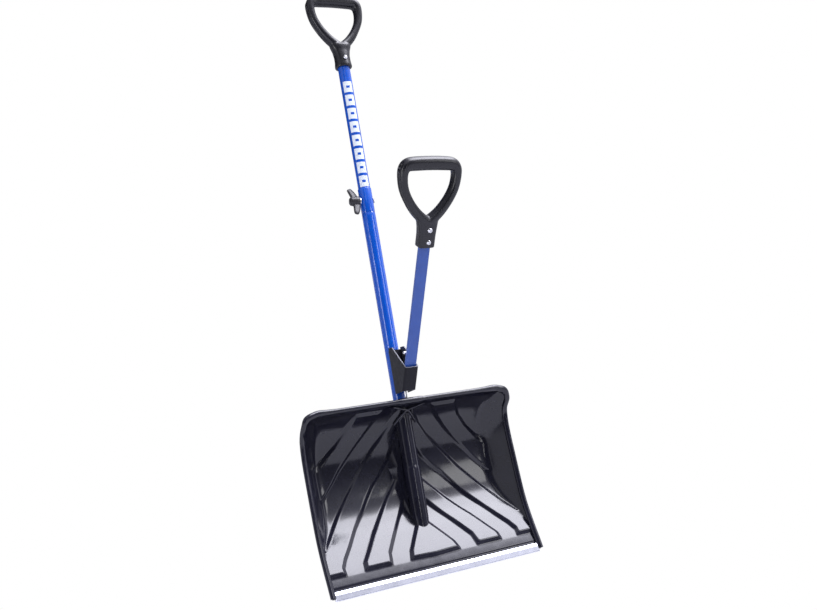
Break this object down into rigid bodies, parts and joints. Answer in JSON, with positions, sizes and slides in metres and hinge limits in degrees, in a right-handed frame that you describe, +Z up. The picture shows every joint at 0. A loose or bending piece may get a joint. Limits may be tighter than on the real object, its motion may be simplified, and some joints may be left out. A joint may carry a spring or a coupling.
{
  "type": "snow shovel",
  "caption": "Snow shovel with a moulded scoop, a telescoped tube shaft with a D-grip, and a spring-loaded second handle that swings on a bracket.",
  "frame": {"origin": "centre of the upper grip's crossbar, where the hand holds the shovel", "axes": "+Z up with the shovel standing on its edge, +Y to the back, +X to the right. The shaft leans back 21.7 degrees from +Z, and the scoop and the second handle face -Y"},
  "size_m": [0.458, 0.5139, 1.1053],
  "materials": {
    "black_plastic": "glossy moulded",
    "blue_paint": "gloss powder coat",
    "black_steel": "satin black coat with bare cut edges",
    "aluminium": "bright extruded",
    "zinc_steel": "bright zinc",
    "brass": "plain turned",
    "rubber": "matt"
  },
  "bodies": {
    "shovel": {"scoop": "black_plastic", "wear_strip": "aluminium", "strip_rivet_1": "aluminium", "strip_rivet_2": "aluminium", "strip_rivet_3": "aluminium", "strip_rivet_4": "aluminium", "socket_screw_1": "zinc_steel", "socket_screw_2": "zinc_steel", "lower_tube": "blue_paint", "upper_tube": "blue_paint", "upper_grip": "black_plastic", "upper_grip_rivet": "zinc_steel", "clamp_bolt": "zinc_steel", "bracket": "black_steel", "bracket_saddle": "black_steel", "bracket_bolt_1": "zinc_steel", "bracket_bolt_2": "zinc_steel", "bracket_nut_1": "zinc_steel", "bracket_nut_2": "zinc_steel", "pivot_pin": "zinc_steel", "spring_bush": "black_plastic", "torsion_spring": "zinc_steel", "stop_pad": "rubber"},
    "assist_arm": {"arm": "blue_paint", "lower_grip": "black_plastic", "grip_screw_1": "zinc_steel", "grip_screw_2": "zinc_steel", "grip_nut_1": "zinc_steel", "grip_nut_2": "zinc_steel"},
    "washer": {"clamp_washer": "zinc_steel"},
    "knob": {"wing_knob": "black_plastic", "wing_knob_insert": "brass"}
  },
  "joints": [
    {"name": "arm_swing", "type": "hinge", "parent": "shovel", "child": "assist_arm", "pos_m": [0, -0.33867, -0.75477], "axis": [-1, 0, 0], "range_deg": [0, 28], "stiffness_Nm_per_rad": 40, "springref_deg": -1.72, "deforming": ["torsion_spring"]},
    {"name": "knob_travel", "type": "slide", "parent": "shovel", "child": "washer", "axis": [-1, 0, 0], "range_m": [0, 0.002]},
    {"name": "knob_spin", "type": "hinge", "parent": "washer", "child": "knob", "pos_m": [0, -0.16454, -0.41346], "axis": [-1, 0, 0], "range_deg": [0, 720]}
  ],
  "couplings": [
    {"joint": "knob_spin", "follows": "knob_travel", "rad_per_m": 6283.2}
  ]
}
